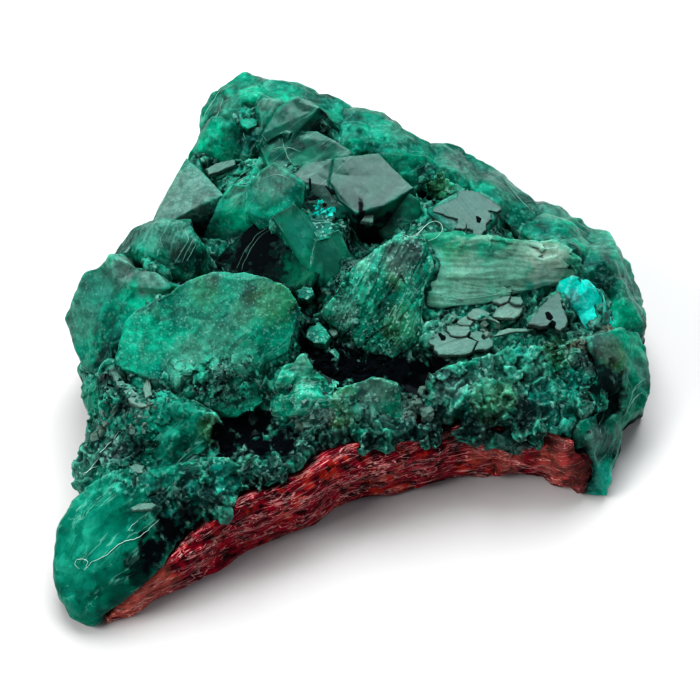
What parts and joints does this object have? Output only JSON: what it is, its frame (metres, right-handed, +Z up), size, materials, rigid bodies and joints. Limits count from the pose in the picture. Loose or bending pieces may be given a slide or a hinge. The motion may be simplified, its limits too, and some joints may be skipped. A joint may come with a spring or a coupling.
{
  "type": "dioptase on matrix mineral specimen",
  "caption": "Green dioptase crystals grown as a crust on a slab of reddish brown host rock, for display on a shelf.",
  "frame": {"origin": "under the middle of the whole specimen, on the plane of the rock's flat underside", "axes": "+Z up out of the rock; +X to the right and +Y away from a viewer who faces the concave front edge, where the bare rock shows"},
  "size_m": [0.0488, 0.0472, 0.0158],
  "materials": {
    "matrix_rock": "rough, foliated",
    "dioptase_granular": "granular, sparkling",
    "dioptase_frosted": "frosted, striated",
    "dioptase_glassy": "glassy, translucent",
    "chrysocolla": "waxy, opaque"
  },
  "bodies": {
    "root": {"matrix_rock": "matrix_rock", "dioptase_crust": "dioptase_granular", "plate_crystal": "dioptase_frosted", "edge_crystal": "dioptase_glassy", "shoulder_crystal": "dioptase_glassy", "pyramid_crystal": "dioptase_glassy", "apex_cluster": "dioptase_glassy", "centre_cluster": "dioptase_glassy", "pale_crystals": "dioptase_glassy", "leaning_prism": "dioptase_glassy", "dark_crystal": "dioptase_glassy", "teal_crystal": "dioptase_glassy", "ridge_cluster": "dioptase_glassy", "right_cluster": "dioptase_glassy", "striated_crystal": "dioptase_frosted", "fractured_crystal": "dioptase_frosted", "chrysocolla_patch": "chrysocolla", "front_cluster": "dioptase_granular", "end_crystal": "dioptase_glassy"}
  },
  "joints": []
}
